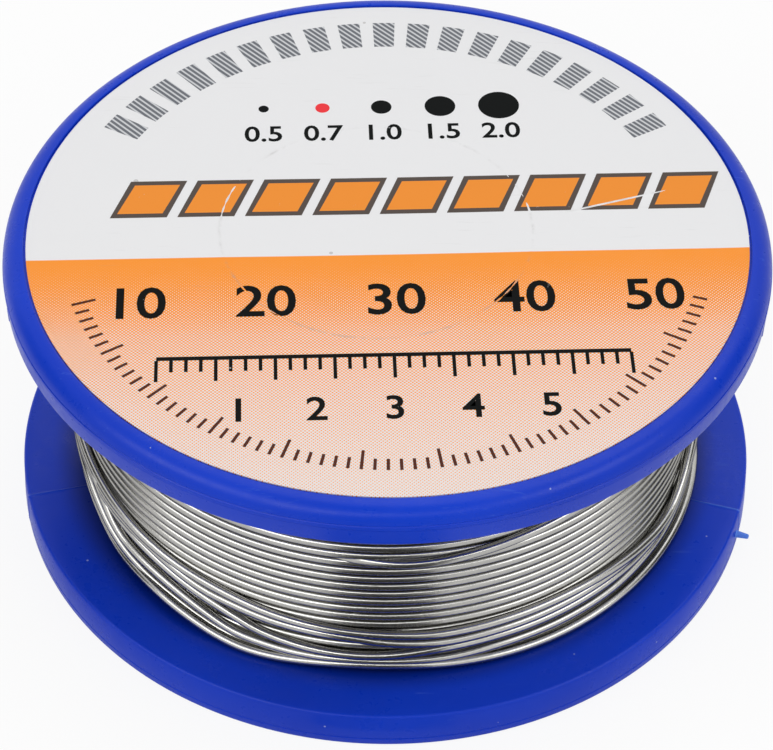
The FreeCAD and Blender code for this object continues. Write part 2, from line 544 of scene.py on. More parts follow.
def shade(mesh, angle=35.0):
    mesh.polygons.foreach_set("use_smooth", [True] * len(mesh.polygons))
    mesh.set_sharp_from_angle(angle=math.radians(angle))


def finishPiece(piece, slotName, *replaced):
    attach(piece, "root")
    if replaced:
        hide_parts(*replaced)
    return piece


def bakeModifiers(piece):  # the evaluated shape as a plain mesh, with no modifier left
    graph = bpy.context.evaluated_depsgraph_get()
    graph.update()
    mesh = bpy.data.meshes.new_from_object(piece.evaluated_get(graph))
    piece.modifiers.clear()
    if piece.type == "MESH":
        piece.data = mesh
        return piece
    name = piece.name
    bpy.data.objects.remove(piece)
    return addObject(name, mesh)


def arc(centre, radius, start, end, count):
    points = []
    for step in range(count + 1):
        angle = math.radians(start + (end - start) * step / count)
        points.append((centre[0] + radius * math.cos(angle), centre[1] + radius * math.sin(angle)))
    return points


# The moulded spool, turned from its outline, with the mould's parting lines and the rim's stub
spool = {
    "columns": 252,
    "boreRadius": 11.0,
    "boreChamfer": 0.3,
    "barrelRadius": 14.5,
    "barrelFillet": 0.25,
    "seatRadius": 25.45,
    "seatDepth": 0.25,
    "seatEdge": 0.05,
    "topCorner": 1.5,
    "baseCorner": 0.3,
    "innerCorner": 0.25,
    "taper": 0.08,
    "lowerParting": 0.76,
    "slideStep": (0.12, 0.06),
    "topStep": 0.04,
    "channelRings": (26.0, 25.0, 24.0, 22.0, 19.0),
    "underRing": 20.0,
    "grooveDrops": (1.18, 1.52),
    "groove": (0.05, 0.07),
    "seams": ((-15.6, 0.75), (-166.0, 0.12)),
    "seamHeight": 0.05,
    "seamWidth": 0.10,
    "seamPaleFrom": 20.0,
    "stubAzimuth": -17.3,
    "stubHeight": 1.3,
    "stubReach": 1.0,
    "stubRadius": 0.26,
    "stubTip": 0.18,
    "stubRound": 0.1,
    "stubRoot": 0.45,
    "stubInside": 0.5,
    "stubColumns": 24,
    "holeAzimuth": 200.0,
    "holeRadius": 0.6,
    "holeWall": 0.3,
    "holeSides": 32,
    "holePatch": (14.75, 16.2, 2.9),  # inner and outer radius, half its angle
}


def grooveIn(wall, height, size):  # a fine V in an upright wall
    depth, half = size["groove"]
    return [(wall, height - half), (wall - depth, height), (wall, height + half)]


def spoolOutline(size):  # (radius, height, lies on the mould's side slides)
    base, corner, inner = size["baseCorner"], size["topCorner"], size["innerCorner"]
    fillet, rings = size["barrelFillet"], size["channelRings"]
    seat, depth, edge = size["seatRadius"], size["seatDepth"], size["seatEdge"]
    bore, chamfer = size["boreRadius"], size["boreChamfer"]
    barrel, slide = size["barrelRadius"], flangeRadius - size["taper"]
    stepHeight, stepDepth = size["slideStep"]
    patchLow, patchHigh, _ = size["holePatch"]
    under = [(radius, depth) for radius in (bore + chamfer, patchLow, patchHigh, size["underRing"], seat)]
    under += [(seat, edge), (seat + edge, 0.0)]
    under += arc((flangeRadius - base, base), base, -90, 0, 6)
    sides = grooveIn(flangeRadius, size["lowerParting"], size)
    sides += [(slide, channelLow - inner - stepHeight), (slide - stepDepth, channelLow - inner)]
    sides += arc((slide - inner, channelLow - inner), inner, 10, 90, 5)
    sides += [(radius, channelLow) for radius in (*rings, patchHigh, patchLow)]
    sides += arc((barrel + fillet, channelLow + fillet), fillet, 270, 180, 4)[1:]
    sides += arc((barrel + fillet, channelHigh - fillet), fillet, 180, 90, 4)
    sides += [(radius, channelHigh) for radius in reversed(rings)]
    sides += arc((slide - inner, channelHigh + inner), inner, -90, 0, 5)
    high, low = (spoolHeight - drop for drop in size["grooveDrops"])
    sides += grooveIn(slide + size["topStep"], low, size)
    arcCentre = (flangeRadius - corner, spoolHeight - corner)
    turn = math.degrees(math.asin((high - arcCentre[1]) / corner))
    notch = math.degrees(size["groove"][1] / corner)
    top = arc(arcCentre, corner, 0, turn - notch, 3)
    top += arc(arcCentre, corner - size["groove"][0], turn, turn, 1)[:1]
    top += arc(arcCentre, corner, turn + notch, 90, 12)
    top += [(seat + edge, spoolHeight), (seat, spoolHeight - edge), (seat, spoolHeight - depth)]
    top += [(bore, spoolHeight - depth), (bore, depth + chamfer)]
    return [(*point, False) for point in under] + [(*point, True) for point in sides] + \
        [(*point, False) for point in top]


def outlineNormals(outline):
    normals = []
    for index in range(len(outline)):
        before, after = outline[index - 1], outline[(index + 1) % len(outline)]
        along = Vector((after[0] - before[0], after[1] - before[1])).normalized()
        normals.append((along.y, -along.x))
    return normals


def seamColumns(size):  # azimuth of each column, how far it stands up on the slides, how pale it is
    step = 360 / size["columns"]
    half = math.degrees(size["seamWidth"] / flangeRadius)
    near = 4 * half
    columns = []
    for index in range(size["columns"]):
        azimuth = index * step
        if all(abs((azimuth - seam + 180) % 360 - 180) > near for seam, _ in size["seams"]):
            columns.append((azimuth, 0.0, 0.0))
    for seam, tint in size["seams"]:
        columns += [(seam % 360 + offset * half, height * size["seamHeight"], height * tint)
                    for offset, height in ((-3, 0), (-1, 0), (0, 1), (1, 0), (3, 0))]
    return sorted(columns)


def makeSpool(size):
    outline = spoolOutline(size)
    normals = outlineNormals(outline)
    columns = seamColumns(size)
    rows = len(outline)
    patchLow, patchHigh, patchTurn = size["holePatch"]
    paleFrom = size["seamPaleFrom"]
    points, pale, faces = [], [], []
    for azimuth, lift, tint in columns:
        angle = math.radians(azimuth)
        for (radius, height, onSlide), normal in zip(outline, normals):
            raised = lift if onSlide else 0.0
            across = radius + raised * normal[0]
            points.append((across * math.cos(angle), across * math.sin(angle), height + raised * normal[1]))
            outwards = max(0.0, (radius - paleFrom) / (flangeRadius - paleFrom))
            pale.append(tint * outwards if onSlide and height < channelHigh else 0.0)
    for column in range(len(columns)):
        following = (column + 1) % len(columns)
        middle = columns[column][0] + 180 / size["columns"]
        for row in range(rows):
            nextRow = (row + 1) % rows
            spans = {round(outline[row][0], 3), round(outline[nextRow][0], 3)}
            level = outline[row][1] == outline[nextRow][1]
            if level and spans == {patchLow, patchHigh} and abs(middle - size["holeAzimuth"]) < patchTurn:
                continue
            faces.append((column * rows + row, following * rows + row,
                          following * rows + nextRow, column * rows + nextRow))
    mesh = meshFrom("spool", points, faces)
    mark = mesh.attributes.new("pale", "FLOAT", "POINT")
    mark.data.foreach_set("value", np.array(pale, np.float32))
    return mesh


def pierce(mesh, size):  # the start hole, in the patches left open in the lower flange's two faces
    radius = size["barrelRadius"] + size["holeWall"] + size["holeRadius"]
    angle = math.radians(size["holeAzimuth"])
    work = bmesh.new()
    work.from_mesh(mesh)
    openEdges = [edge for edge in work.edges if edge.is_boundary]
    rings = []
    for height in (size["seatDepth"], channelLow):
        spot = Vector((radius * math.cos(angle), radius * math.sin(angle), height)) * mm
        ring = bmesh.ops.create_circle(work, radius=size["holeRadius"] * mm, segments=size["holeSides"],
                                       matrix=Matrix.Translation(spot))["verts"]
        ringEdges = {edge for vertex in ring for edge in vertex.link_edges}
        around = [edge for edge in openEdges if abs(edge.verts[0].co.z - height * mm) < 1e-6]
        bmesh.ops.triangle_fill(work, edges=around + list(ringEdges), use_beauty=True)
        rings.append(ring)
    low, high = rings
    for index in range(len(low)):
        following = (index + 1) % len(low)
        work.faces.new((low[index], low[following], high[following], high[index]))
    bmesh.ops.recalc_face_normals(work, faces=work.faces)
    work.to_mesh(mesh)
    work.free()


def stubMesh(size):  # a tapered stub with a flared root, closed at both ends
    tip, blunt, root = size["stubTip"], size["stubRound"], size["stubRoot"]
    flare = root - size["stubRadius"]
    outline = [(root, -size["stubInside"]), (root, 0.0)]
    outline += arc((root, flare), flare, 270, 180, 5)[1:]
    outline += arc((tip - blunt, size["stubReach"] - blunt), blunt, 0, 80, 4)
    points, faces = [], []
    rows, columns = len(outline), size["stubColumns"]
    for column in range(columns):
        angle = 2 * math.pi * column / columns
        points += [(across * math.cos(angle), across * math.sin(angle), height) for across, height in outline]
        following = (column + 1) % columns
        faces += [(column * rows + row, following * rows + row, following * rows + row + 1,
                   column * rows + row + 1) for row in range(rows - 1)]
    faces.append([column * rows for column in range(columns)])
    faces.append([column * rows + rows - 1 for column in range(columns)])
    mesh = meshFrom("stub", points, faces)
    mark = mesh.attributes.new("pale", "FLOAT", "POINT")
    mark.data.foreach_set("value", [1.0] * len(points))
    angle = math.radians(size["stubAzimuth"])
    rim = flangeRadius - size["taper"]
    outwards = Matrix.Rotation(angle, 4, "Z") @ Matrix.Rotation(math.radians(90), 4, "Y")
    seatPoint = Vector((rim * math.cos(angle), rim * math.sin(angle), size["stubHeight"])) * mm
    mesh.transform(Matrix.Translation(seatPoint) @ outwards)
    return mesh


def dressSpool(size):
    mesh = makeSpool(size)
    pierce(mesh, size)
    work = bmesh.new()
    work.from_mesh(mesh)
    stub = stubMesh(size)
    work.from_mesh(stub)
    bmesh.ops.recalc_face_normals(work, faces=work.faces)
    work.to_mesh(mesh)
    work.free()
    bpy.data.meshes.remove(stub)
    mesh.materials.append(bluePlastic)
    shade(mesh, 28.0)
    return finishPiece(addObject("spool", mesh), "spool_plastic", "spool_body")


dressSpool(spool)
print("spool ready")


# The paper label, with the crease that the hub's open end has left in it
label = {
    "thickness": 0.10,
    "columns": 240,
    "creaseCentre": (-0.8, 0.34),
    "creaseRadius": 11.0,
    "creaseHeight": 0.023,
    "creaseWidth": 0.16,
    "sag": 0.05,
    "foldStart": (12.7, 2.4),
    "foldEnd": (20.7, 5.1),
    "foldHeight": 0.03,
    "foldWidth": 0.14,
    "foldFan": (7.1, 0.22, 34),  # first azimuth, step and number of the fine columns across the fold
    "edgeLift": 0.03,
    "edgeFrom": 0.86,
    "creaseChange": (0.5, 0.3, 0.2, 0.3),
    "innerRings": (0.5, 2.0, 4.0, 6.0, 8.0, 9.5, 10.3, 10.6, 10.75, 10.85, 10.92, 11.0,
                   11.08, 11.15, 11.25, 11.4),
    "outerRings": 22,
    "printLift": 0.012,
    "printDepth": 0.03,
}


def sagAt(x, y):  # the paper's slow waves: a slight hollow over the hub and a slightly uneven edge
    creaseX, creaseY = label["creaseCentre"]
    outwards = math.hypot(x - creaseX, y - creaseY) / label["creaseRadius"]
    hollow = max(0.0, 1 - outwards * outwards)
    azimuth = math.atan2(y, x)
    rim = max(0.0, math.hypot(x, y) / labelRadius - label["edgeFrom"]) / (1 - label["edgeFrom"])
    waves = 0.5 + 0.3 * math.sin(3 * azimuth + 0.7) + 0.2 * math.sin(7 * azimuth + 2.1)
    return -label["sag"] * hollow + label["edgeLift"] * rim * rim * waves


def creaseAt(x, y):  # 0 to 1 on the round crease and on the fine fold to its right
    creaseX, creaseY = label["creaseCentre"]
    azimuth = math.atan2(y - creaseY, x - creaseX)
    away = abs(math.hypot(x - creaseX, y - creaseY) - label["creaseRadius"]) / label["creaseWidth"]
    mean, slow, quick, rough = label["creaseChange"]
    strength = mean - slow * math.sin(azimuth) + quick * math.sin(9 * azimuth)
    strength += rough * math.sin(37 * azimuth) * math.sin(23 * azimuth + 1.0)
    ring = max(0.0, 1 - away) * max(0.0, strength)
    start, end = Vector(label["foldStart"]), Vector(label["foldEnd"])
    run = end - start
    share = max(0.0, min(1.0, (Vector((x, y)) - start).dot(run) / run.length_squared))
    beside = (Vector((x, y)) - start - run * share).length / label["foldWidth"]
    fold = max(0.0, 1 - beside) * math.sin(math.pi * min(1.0, share * 0.8 + 0.2)) ** 0.5
    return ring, fold


def labelColumns(size):
    first, step, count = size["foldFan"]
    fine = [first + step * index for index in range(count)]
    coarse = [index * 360 / size["columns"] for index in range(size["columns"])]
    return sorted([azimuth for azimuth in coarse if not fine[0] < azimuth < fine[-1]] + fine)


def makeLabel(size):
    creaseCentre = Vector(size["creaseCentre"])
    centre = Vector(labelCentre[:2])
    columns = labelColumns(size)
    rings, outerCount = list(size["innerRings"]), size["outerRings"]
    last = rings[-1]
    points, creases = [], []

    def addPoint(spot, height, marked):
        ring, fold = creaseAt(*spot) if marked else (0.0, 0.0)
        lift = sagAt(*spot) + size["creaseHeight"] * ring + size["foldHeight"] * fold
        points.append((spot.x, spot.y, height + lift))
        creases.append(max(ring, fold))

    top = labelCentre.z - size["edgeLift"]
    addPoint(creaseCentre, top, False)
    for azimuth in columns:
        direction = Vector((math.cos(math.radians(azimuth)), math.sin(math.radians(azimuth))))
        offset = creaseCentre - centre
        along = offset.dot(direction)
        reach = -along + math.sqrt(along * along - offset.length_squared + labelRadius ** 2)
        outer = [last + (reach - last) * step / outerCount for step in range(1, outerCount + 1)]
        for radius in rings + outer:
            addPoint(creaseCentre + direction * radius, top, True)
        edge = creaseCentre + direction * reach
        addPoint(edge, top - size["thickness"], False)
        addPoint(creaseCentre + direction * (reach * 0.5), top - size["thickness"], False)
    perColumn = len(rings) + outerCount + 2
    addPoint(creaseCentre, top - size["thickness"], False)
    faces = []
    for column in range(len(columns)):
        here = 1 + column * perColumn
        there = 1 + ((column + 1) % len(columns)) * perColumn
        faces.append((0, here, there))
        for row in range(perColumn - 1):
            faces.append((here + row, here + row + 1, there + row + 1, there + row))
        faces.append((here + perColumn - 1, len(points) - 1, there + perColumn - 1))
    mesh = meshFrom("label", points, faces)
    mark = mesh.attributes.new("crease", "FLOAT", "POINT")
    mark.data.foreach_set("value", np.array(creases, np.float32))
    fixNormals(mesh)
    shade(mesh, 40.0)
    mesh.materials.append(labelPaper)
    return finishPiece(addObject("label", mesh), "label_paper", "face_label")


makeLabel(label)
print("label ready")


# The label's print: a generic wire-size scale and a ruler, with plain numbers only
printing = {
    "hatchRadius": (20.6, 23.4),
    "hatchAngles": (28.0, 152.0),
    "hatchBlocks": 19,
    "hatchShare": 0.62,
    "sizes": (0.5, 0.7, 1.0, 1.5, 2.0),
    "dotRow": (-8.6, 13.6, 4.3),
    "dotScale": 1.5,
    "figureDrop": 3.6,
    "figureHeight": 1.7,
    "figureWeight": 0.02,
    "boldWeight": 0.018,
    "lozenges": (-19.0, 2.4, 4.75, 9),
    "lozengeSize": (3.2, 3.0, 1.2),
    "lozengeOutline": 0.42,
    "lozengeMitre": (1.2, 0.7),
    "bigRow": (-17.5, -8.2, 8.9),
    "bigFigures": ("10", "20", "30", "40", "50"),
    "bigHeight": 3.1,
    "ruler": (-16.0, 16.0, -12.4),
    "rulerLine": 0.35,
    "rulerStep": 1.0,
    "rulerTick": 0.24,
    "rulerReach": (2.0, 1.1),
    "lowRow": (-10.5, -18.2, 5.2),
    "lowFigures": ("1", "2", "3", "4", "5"),
    "lowHeight": 2.2,
    "arcRadius": 22.9,
    "arcAngles": (197.0, 343.0),
    "arcTicks": 66,
    "arcTick": 0.55,
    "arcReach": (1.7, 1.0),
}


def onLabel(x, y):  # a printed point on the turned label, in millimetres
    angle = math.radians(paper["turn"])
    return (labelCentre.x + x * math.cos(angle) - y * math.sin(angle),
            labelCentre.y + x * math.sin(angle) + y * math.cos(angle))


def slab(outline):  # a thin closed solid of ink from a flat convex outline on the label
    top = labelCentre.z - label["edgeLift"] + label["printLift"]
    points = []
    for depth in (0.0, label["printDepth"]):
        for x, y in outline:
            px, py = onLabel(x, y)
            points.append((px, py, top - depth + sagAt(px, py)))
    count = len(outline)
    faces = [tuple(range(count)), tuple(range(2 * count - 1, count - 1, -1))]
    faces += [(index, index + count, (index + 1) % count + count, (index + 1) % count)
              for index in range(count)]
    return points, faces


def frameSlab(outer, inner):  # a closed ring of ink between two flat outlines
    count = len(outer)
    points, _ = slab(list(outer) + list(inner))
    faces = []
    for side in range(count):
        following = (side + 1) % count
        a, b, c, d = side, following, following + count, side + count
        low = 2 * count
        faces += [(a, b, c, d), (d + low, c + low, b + low, a + low), (a, a + low, b + low, b),
                  (c, c + low, d + low, d)]
    return points, faces


def ringBlock(innerRadius, outerRadius, start, end):
    steps = 4
    outer = [math.radians(start + (end - start) * step / steps) for step in range(steps + 1)]
    rim = [(outerRadius * math.cos(angle), outerRadius * math.sin(angle)) for angle in outer]
    rim += [(innerRadius * math.cos(angle), innerRadius * math.sin(angle)) for angle in reversed(outer)]
    return rim


def bar(x, y, width, height):
    return [(x, y), (x + width, y), (x + width, y + height), (x, y + height)]


def disc(x, y, radius, sides=36):
    angles = [2 * math.pi * side / sides for side in range(sides)]
    return [(x + radius * math.cos(angle), y + radius * math.sin(angle)) for angle in angles]


def lozenge(x, y, width, height, lean, grow=0.0):
    sharp, blunt = (share * grow for share in printing["lozengeMitre"])
    low, high = y - grow, y + height + grow
    return [(x - sharp, low), (x + width + blunt, low),
            (x + width + lean + sharp, high), (x + lean - blunt, high)]


def figures(text, x, y, height, weight):  # centred on x, with its foot on y
    curve = bpy.data.curves.new("figures", "FONT")
    curve.body = text
    curve.size = height * 1.38  # the font's figures are lower than its size
    curve.align_x = "CENTER"
    curve.offset = weight * height
    curve.extrude = label["printDepth"] / 2
    curve.resolution_u = 4
    holder = addObject("figures", curve)
    mesh = bpy.data.meshes.new_from_object(holder.evaluated_get(bpy.context.evaluated_depsgraph_get()))
    bpy.data.objects.remove(holder)
    middle = labelCentre.z - label["edgeLift"] + label["printLift"] - label["printDepth"] / 2
    points = []
    for vertex in mesh.vertices:
        px, py = onLabel(x + vertex.co.x, y + vertex.co.y)
        points.append((px, py, middle + vertex.co.z + sagAt(px, py)))
    faces = [tuple(face.vertices) for face in mesh.polygons]
    bpy.data.meshes.remove(mesh)
    return points, faces


def inkPiece(name, ink, parts):
    points, faces = [], []
    for partPoints, partFaces in parts:
        faces += [tuple(index + len(points) for index in face) for face in partFaces]
        points += partPoints
    mesh = meshFrom(name, points, faces)
    fixNormals(mesh)
    mesh.materials.append(inkMaterials[ink])
    return finishPiece(addObject(name, mesh), "label_paper")


def printLabel(layout):
    low, high = layout["hatchAngles"]
    share = (high - low) / layout["hatchBlocks"]
    starts = [low + index * share for index in range(layout["hatchBlocks"])]
    blocks = [slab(ringBlock(*layout["hatchRadius"], start, start + layout["hatchShare"] * share))
              for start in starts]
    inkPiece("printHatch", "grey", blocks)

    x, y, step = layout["dotRow"]
    black, red = [], []
    for index, size in enumerate(layout["sizes"]):
        spot = slab(disc(x + index * step, y, size * layout["dotScale"] / 2))
        (red if size == wireSize else black).append(spot)
        black.append(figures(f"{size}", x + index * step, y - layout["figureDrop"], layout["figureHeight"],
                             layout["figureWeight"]))
    inkPiece("printWireSize", "red", red)

    x, y, step, count = layout["lozenges"]
    width, height, lean = layout["lozengeSize"]
    fills = [slab(lozenge(x + index * step, y, width, height, lean)) for index in range(count)]
    edges = []
    for index in range(count):
        outer = lozenge(x + index * step, y, width, height, lean, layout["lozengeOutline"])
        edges.append(frameSlab(outer, lozenge(x + index * step, y, width, height, lean)))
    inkPiece("printLozenges", "orange", fills)
    inkPiece("printOutlines", "outline", edges)

    start, end, y = layout["ruler"]
    tick = layout["rulerTick"]
    black.append(slab(bar(start, y, end - start, layout["rulerLine"])))
    for index in range(round((end - start) / layout["rulerStep"]) + 1):
        reach = layout["rulerReach"][0 if index % 4 == 0 else 1]
        black.append(slab(bar(start + index * layout["rulerStep"] - tick / 2, y - reach, tick, reach)))
    for row in ("big", "low"):
        x, y, step = layout[row + "Row"]
        for index, text in enumerate(layout[row + "Figures"]):
            black.append(figures(text, x + index * step, y, layout[row + "Height"], layout["boldWeight"]))
    inkPiece("printBlack", "black", black)

    low, high = layout["arcAngles"]
    ticks = []
    for index in range(layout["arcTicks"]):
        start = low + (high - low) * index / layout["arcTicks"]
        inner = layout["arcRadius"] - layout["arcReach"][0 if index % 6 == 0 else 1]
        ticks.append(slab(ringBlock(inner, layout["arcRadius"], start, start + layout["arcTick"])))
    inkPiece("printEdgeScale", "brown", ticks)


wireSize = round(wireDiameter, 2)
printLabel(printing)
print("print ready")


# The wire is wound in layers by a geometry tree: 24 turns up, 24 turns down, and so on
winding = {
    "turns": 24,
    "upperTurns": 24 + 1 / 12,
    "outerTurns": 21.5,
    "outerStart": 20.0,
    "outerLift": 0.30,
    "layerStep": 0.60,
    "firstRadius": spool["barrelRadius"] + wireRadius,
    "stepShare": 0.33,  # of a turn, in which the wire steps up to the next layer
    "wobble": 0.035,
    "wobbleScale": 110.0,
    "innerSteps": 60,
    "innerSides": 6,
    "outerSteps": 180,
    "outerSides": 14,
    "startAzimuth": spool["holeAzimuth"],
}


def makeWindingTree():
    tree, entry, result = sizedTree(
        "woundLayers", "GeometryNodeTree",
        [("Geometry", "NodeSocketGeometry", None), ("First layer", "NodeSocketInt", 1),
         ("Layers", "NodeSocketInt", 1), ("Turns per layer", "NodeSocketFloat", 24.0),
         ("Steps per turn", "NodeSocketInt", 60), ("Sides", "NodeSocketInt", 6),
         ("Wire radius", "NodeSocketFloat", 0.00035), ("First radius", "NodeSocketFloat", 0.01485),
         ("Layer step", "NodeSocketFloat", 0.0006), ("Low", "NodeSocketFloat", 0.003),
         ("High", "NodeSocketFloat", 0.021), ("Start angle", "NodeSocketFloat", 0.0),
         ("Wobble", "NodeSocketFloat", 0.0), ("Material", "NodeSocketMaterial", None)],
        [("Geometry", "NodeSocketGeometry")])
    perLayer = calc(tree, "MULTIPLY", entry["Turns per layer"], entry["Steps per turn"])
    count = calc(tree, "ADD", calc(tree, "MULTIPLY", perLayer, entry["Layers"]), 1.0)
    line = addNode(tree, "GeometryNodeMeshLine", {"Count": count})
    curve = addNode(tree, "GeometryNodeMeshToCurve", {"Mesh": line.outputs[0]})
    index = addNode(tree, "GeometryNodeInputIndex").outputs[0]
    turn = calc(tree, "DIVIDE", index, entry["Steps per turn"])
    lastLayer = calc(tree, "SUBTRACT", entry["Layers"], 1.0)
    wholeLayers = calc(tree, "FLOOR", calc(tree, "DIVIDE", turn, entry["Turns per layer"]))
    layer = calc(tree, "MINIMUM", wholeLayers, lastLayer)
    inLayer = calc(tree, "SUBTRACT", turn, calc(tree, "MULTIPLY", layer, entry["Turns per layer"]))
    share = calc(tree, "DIVIDE", inLayer, entry["Turns per layer"])
    number = calc(tree, "ADD", layer, entry["First layer"])
    goesUp = calc(tree, "MODULO", number, 2.0)
    upward = calc(tree, "MULTIPLY", goesUp, share)
    downward = calc(tree, "MULTIPLY", calc(tree, "SUBTRACT", 1.0, goesUp), calc(tree, "SUBTRACT", 1.0, share))
    rise = calc(tree, "ADD", upward, downward)
    lowest = calc(tree, "ADD", entry["Low"], entry["Wire radius"])
    highest = calc(tree, "SUBTRACT", entry["High"], entry["Wire radius"])
    height = calc(tree, "ADD", lowest, calc(tree, "MULTIPLY", rise, calc(tree, "SUBTRACT", highest, lowest)))
    stepped = remap(tree, inLayer, 0.0, winding["stepShare"], smooth=True)
    climb = calc(tree, "ADD", calc(tree, "SUBTRACT", number, 2.0), stepped)
    radius = calc(tree, "ADD", entry["First radius"],
                  calc(tree, "MULTIPLY", calc(tree, "MAXIMUM", climb, 0.0), entry["Layer step"]))
    angle = calc(tree, "ADD", calc(tree, "MULTIPLY", turn, 2 * math.pi), entry["Start angle"])
    x = calc(tree, "MULTIPLY", radius, calc(tree, "COSINE", angle))
    y = calc(tree, "MULTIPLY", radius, calc(tree, "SINE", angle))
    spot = addNode(tree, "ShaderNodeCombineXYZ", {"X": x, "Y": y, "Z": height}).outputs[0]
    waver = noise(tree, spot, winding["wobbleScale"], 1.0)
    offset = calc(tree, "MULTIPLY", calc(tree, "SUBTRACT", waver, 0.5), entry["Wobble"])
    shift = addNode(tree, "ShaderNodeCombineXYZ", {"Z": offset}).outputs[0]
    placed = addNode(tree, "GeometryNodeSetPosition", {
        "Geometry": curve.outputs[0], "Position": vectorCalc(tree, "ADD", spot, shift)})
    finishTube(tree, entry, result, placed.outputs[0])
    return tree


def finishTube(tree, entry, result, path):  # sweep the wire's round section along a path
    along = addNode(tree, "GeometryNodeSplineParameter").outputs["Length"]
    marked = addNode(tree, "GeometryNodeStoreNamedAttribute", {
        "Geometry": path, "Name": "along", "Value": along}, data_type="FLOAT", domain="POINT")
    circle = addNode(tree, "GeometryNodeCurvePrimitiveCircle", {
        "Resolution": entry["Sides"], "Radius": entry["Wire radius"]})
    around = addNode(tree, "GeometryNodeSplineParameter").outputs["Factor"]
    section = addNode(tree, "GeometryNodeStoreNamedAttribute", {
        "Geometry": circle.outputs[0], "Name": "around", "Value": around}, data_type="FLOAT", domain="POINT")
    tube = addNode(tree, "GeometryNodeCurveToMesh", {
        "Curve": marked.outputs[0], "Profile Curve": section.outputs[0], "Fill Caps": True})
    smooth = addNode(tree, "GeometryNodeSetShadeSmooth", {"Geometry": tube.outputs[0]})
    whole = addNode(tree, "GeometryNodeRealizeInstances", {"Geometry": smooth.outputs[0]})
    painted = addNode(tree, "GeometryNodeSetMaterial", {
        "Geometry": whole.outputs[0], "Material": entry["Material"]})
    tree.links.new(painted.outputs[0], result[0])


def makeTubeTree():
    tree, entry, result = sizedTree(
        "wireTube", "GeometryNodeTree",
        [("Geometry", "NodeSocketGeometry", None), ("Sides", "NodeSocketInt", 14),
         ("Wire radius", "NodeSocketFloat", 0.00035), ("Material", "NodeSocketMaterial", None)],
        [("Geometry", "NodeSocketGeometry")])
    finishTube(tree, entry, result, entry["Geometry"])
    return tree


def growPiece(piece, tree, values):
    grow = piece.modifiers.new("grow", "NODES")
    grow.node_group = tree
    sockets = {item.name: item.identifier for item in tree.interface.items_tree if item.in_out == "INPUT"}
    for name, value in values.items():
        grow[sockets[name]] = value
    return bakeModifiers(piece)


windingTree = makeWindingTree()
tubeTree = makeTubeTree()


def windLayers(name, first, layers, values):
    holder = addObject(name, bpy.data.meshes.new(name))
    return growPiece(holder, windingTree, {
        "First layer": first, "Layers": layers, "Wire radius": wireRadius * mm,
        "First radius": winding["firstRadius"] * mm, "Layer step": winding["layerStep"] * mm,
        "High": channelHigh * mm, "Material": solderWire, **values})


innerLook = {"Steps per turn": winding["innerSteps"], "Sides": winding["innerSides"], "Low": channelLow * mm,
             "Start angle": math.radians(winding["startAzimuth"]), "Wobble": 0.0}
innerFirst = windLayers("woundLayersLow", 1, 6, {**innerLook, "Turns per layer": float(winding["turns"])})
innerSecond = windLayers("woundLayersHigh", 7, 6, {**innerLook, "Turns per layer": winding["upperTurns"]})
outerLayer = windLayers("outerLayer", 13, 1, {
    "Turns per layer": winding["outerTurns"], "Steps per turn": winding["outerSteps"],
    "Sides": winding["outerSides"], "Low": (channelLow + winding["outerLift"]) * mm,
    "Start angle": math.radians(winding["outerStart"]), "Wobble": winding["wobble"] * mm})
finishPiece(innerFirst, "solder", "wire_inner_layers")
finishPiece(innerSecond, "solder")
finishPiece(outerLayer, "solder", "wire_outer_layer")
print("wound layers ready", [len(piece.data.polygons) for piece in (innerFirst, innerSecond, outerLayer)])


